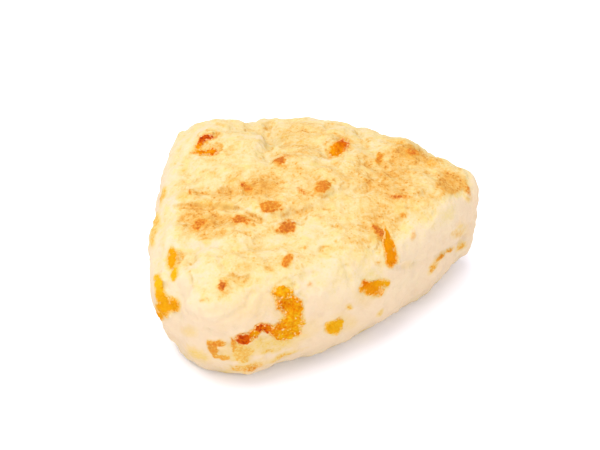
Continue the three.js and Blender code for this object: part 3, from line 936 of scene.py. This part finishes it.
# Colours by toasting with its painted shade, and by the cheese's tone.
CRUST_TONES = (
    (0.0, (0.585, 0.45, 0.295)),
    (0.12, (0.595, 0.475, 0.305)),
    (0.35, (0.585, 0.46, 0.225)),
    (0.55, (0.56, 0.375, 0.13)),
    (0.78, (0.53, 0.27, 0.05)),
    (1.0, (0.41, 0.16, 0.025)),
)
STAIN_TONES = (
    (0.0, (0.57, 0.40, 0.12)),
    (0.3, (0.55, 0.28, 0.04)),
    (0.6, (0.50, 0.17, 0.015)),
    (0.85, (0.37, 0.08, 0.01)),
    (1.0, (0.22, 0.035, 0.008)),
)
CHEESE_TONES = (
    (0.0, (0.575, 0.35, 0.01)),
    (0.3, (0.55, 0.235, 0.003)),
    (0.55, (0.52, 0.155, 0.001)),
    (0.8, (0.45, 0.07, 0.001)),
    (1.0, (0.28, 0.026, 0.002)),
)
# The lemon tint of the crust where the cheese baked into it, and the rim of the melted cheese.
LEMON = (0.58, 0.455, 0.155)
CHEESE_EDGE = (0.63, 0.39, 0.15)

# Noises of the crust: size in millimetres, detail and roughness.
CRUST_GRAIN = (0.75, 4, 0.65)
CRUST_FLECK = (1.9, 3, 0.6)
LEMON_NOISE = (3.2, 3, 0.6)
# Dots: their spacing in millimetres, the share of places that have one, and the radius.
FINE_DOTS = (0.8, 0.5, 0.45)
COARSE_DOTS = (1.7, 0.35, 0.35)
# How much browner or paler each makes the crust; golden crust is more uneven than floury crust.
GRAIN_TOAST = 0.6
FLECK_TOAST = 0.4
FINE_DOT_TOAST = 0.2
COARSE_DOT_TOAST = 0.22
FLOURY_UNEVEN = 0.3
GOLDEN_UNEVEN = 1.4
# The lemon tint lies in patches on golden crust, not on floury or brown crust.
LEMON_PATCHES = ((0.5, BLACK), (0.68, WHITE))
LEMON_TOAST = ((0.1, BLACK), (0.3, WHITE), (0.48, WHITE), (0.6, BLACK))
LEMON_STRENGTH = 0.6
# Stained crust: the grain breaks up the stain and its tone, and a faint stain is yellower.
STAIN_BREAKING = 1.8
STAIN_GRAIN = 0.6
STAIN_FADING = 0.7
STAIN_COVER = ((0.05, BLACK), (0.75, WHITE))
CRUST_BUMP = (0.6, 0.35)

MELT_NOISE = (0.7, 3, 0.6)
MELT_FLECK = (1.8, 3, 0.6)
MELT_DOTS = (0.9, 0.5, 0.5)
MELT_NOISE_TONE = 1.1
MELT_FLECK_TONE = 0.6
# The grain and small holes break up the rim of the melted cheese.
MELT_BREAKING = 1.2
MELT_HOLES = 0.5
MELT_COVER = ((0.3, BLACK), (0.75, WHITE))
MELT_BUMP = (0.6, 0.2)

FLOOR_COLOUR = (0.95, 0.945, 0.98, 1)


def crust_colour(made, grain, fleck):
    """The toasted crust, with its painted shade, without its stains."""
    fine_dots = made.times(made.dots(*FINE_DOTS), FINE_DOT_TOAST)
    coarse_dots = made.times(made.dots(*COARSE_DOTS), COARSE_DOT_TOAST)
    toast_and_shade = made.attribute("toast_and_shade")
    golden = made.plus(made.times(toast_and_shade, GOLDEN_UNEVEN, clamp=True), FLOURY_UNEVEN)
    shift = made.plus(made.times(grain, GRAIN_TOAST), made.times(fleck, FLECK_TOAST))
    shift = made.plus(shift, made.plus(fine_dots, coarse_dots))
    uneven = made.plus(toast_and_shade, made.times(shift, golden), clamp=True)
    patches = made.ramp(made.plain_noise(*LEMON_NOISE), LEMON_PATCHES)
    lemon = made.times(made.ramp(toast_and_shade, LEMON_TOAST), patches)
    return made.mix(made.times(lemon, LEMON_STRENGTH), made.ramp(uneven, CRUST_TONES), LEMON)


def crust_material():
    made = Nodes("baked_crust")
    grain = made.noise(*CRUST_GRAIN)
    fleck = made.noise(*CRUST_FLECK)
    crust = crust_colour(made, grain, fleck)
    cheese = made.attribute("cheese")
    shown = made.plus(cheese, made.times(made.times(grain, STAIN_BREAKING), cheese))
    tone = made.plus(made.attribute("tone"), made.times(grain, STAIN_GRAIN))
    tone = made.minus(tone, made.times(made.minus(1, shown, clamp=True), STAIN_FADING))
    made.colour(made.mix(made.ramp(shown, STAIN_COVER), crust, made.ramp(tone, STAIN_TONES)))
    made.set(Roughness=0.75, Specular_IOR_Level=0.05)
    made.set(Subsurface_Weight=0.1, Subsurface_Radius=(1.0, 0.55, 0.25), Subsurface_Scale=0.7 * MM)
    made.bump(made.plus(grain, fleck), *CRUST_BUMP)
    return made.material


def cheese_material():
    made = Nodes("melted_cheese")
    grain = made.noise(*MELT_NOISE)
    fleck = made.noise(*MELT_FLECK)
    granular = made.attribute("granular")
    shift = made.plus(made.times(grain, MELT_NOISE_TONE), made.times(fleck, MELT_FLECK_TONE))
    tone = made.plus(made.attribute("tone"), made.times(shift, granular))
    melt = made.plus(made.attribute("melt"), made.times(grain, MELT_BREAKING))
    melt = made.minus(melt, made.times(made.times(made.dots(*MELT_DOTS), granular), MELT_HOLES))
    made.colour(made.mix(made.ramp(melt, MELT_COVER), CHEESE_EDGE, made.ramp(tone, CHEESE_TONES)))
    made.set(Roughness=0.6, Specular_IOR_Level=0.01)
    made.set(Subsurface_Weight=0.12, Subsurface_Radius=(1.0, 0.4, 0.05), Subsurface_Scale=0.5 * MM)
    made.bump(grain, *MELT_BUMP)
    return made.material


def floor_material():
    made = Nodes("floor")
    made.set(Base_Color=FLOOR_COLOUR, Roughness=0.9, Specular_IOR_Level=0.1)
    return made.material


# The studio: sizes in metres, powers in watts

Lamp = namedtuple("Lamp", "name place size power")
LAMPS = (
    Lamp("overhead", (-0.22, 0.08, 1.0), 1.1, 10.8),
    Lamp("side", (-0.9, -0.45, 0.35), 0.8, 1.9),
    Lamp("fill", (0.36, -0.97, 0.5), 0.9, 5.6),
)
SKY_COLOUR = (1, 0.985, 1.08, 1)
SKY_STRENGTH = 0.84
FLOOR_HALF = 3


def add_floor():
    mesh = bpy.data.meshes.new("floor")
    corners = [(x * FLOOR_HALF, y * FLOOR_HALF, 0) for x, y in ((-1, -1), (1, -1), (1, 1), (-1, 1))]
    mesh.from_pydata(corners, [], [(0, 1, 2, 3)])
    mesh.materials.append(floor_material())
    new_object("floor", mesh)


def add_lamp(lamp):
    data = bpy.data.lights.new(lamp.name, "AREA")
    data.shape = "DISK"
    data.size = lamp.size
    data.energy = lamp.power
    made = bpy.data.objects.new(lamp.name, data)
    made.location = lamp.place
    made.rotation_mode = "QUATERNION"
    made.rotation_quaternion = (AIM - Vector(lamp.place)).to_track_quat("-Z", "Y")
    bpy.context.scene.collection.objects.link(made)


def add_light():
    scene = bpy.context.scene
    scene.world = bpy.data.worlds.new("world")
    scene.world.use_nodes = True
    background = scene.world.node_tree.nodes["Background"]
    background.inputs["Color"].default_value = SKY_COLOUR
    background.inputs["Strength"].default_value = SKY_STRENGTH
    for lamp in LAMPS:
        add_lamp(lamp)
    scene.view_settings.view_transform = "Standard"


def add_piece(name, mesh, material, node):
    mesh.materials.clear()
    mesh.materials.append(material)
    mesh.shade_smooth()
    made = new_object(name, mesh)
    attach(made, "root")
    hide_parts(node)


def add_scone():
    mesh, form_normals, melted, crumbs, relief = dough_mesh()
    colour_dough(mesh, form_normals, melted, crumbs, relief)
    cheese = cheese_material()
    for name, (mask, tone) in melted.items():
        patch = cheese_patch(mesh, mask, tone, GRANULAR.get(name, SMOOTH_MELT))
        add_piece(name.replace("cheese_", "melted_"), patch, cheese, name)
    add_piece("dough", mesh, crust_material(), "scone")


add_camera()
add_light()
add_floor()
add_scone()
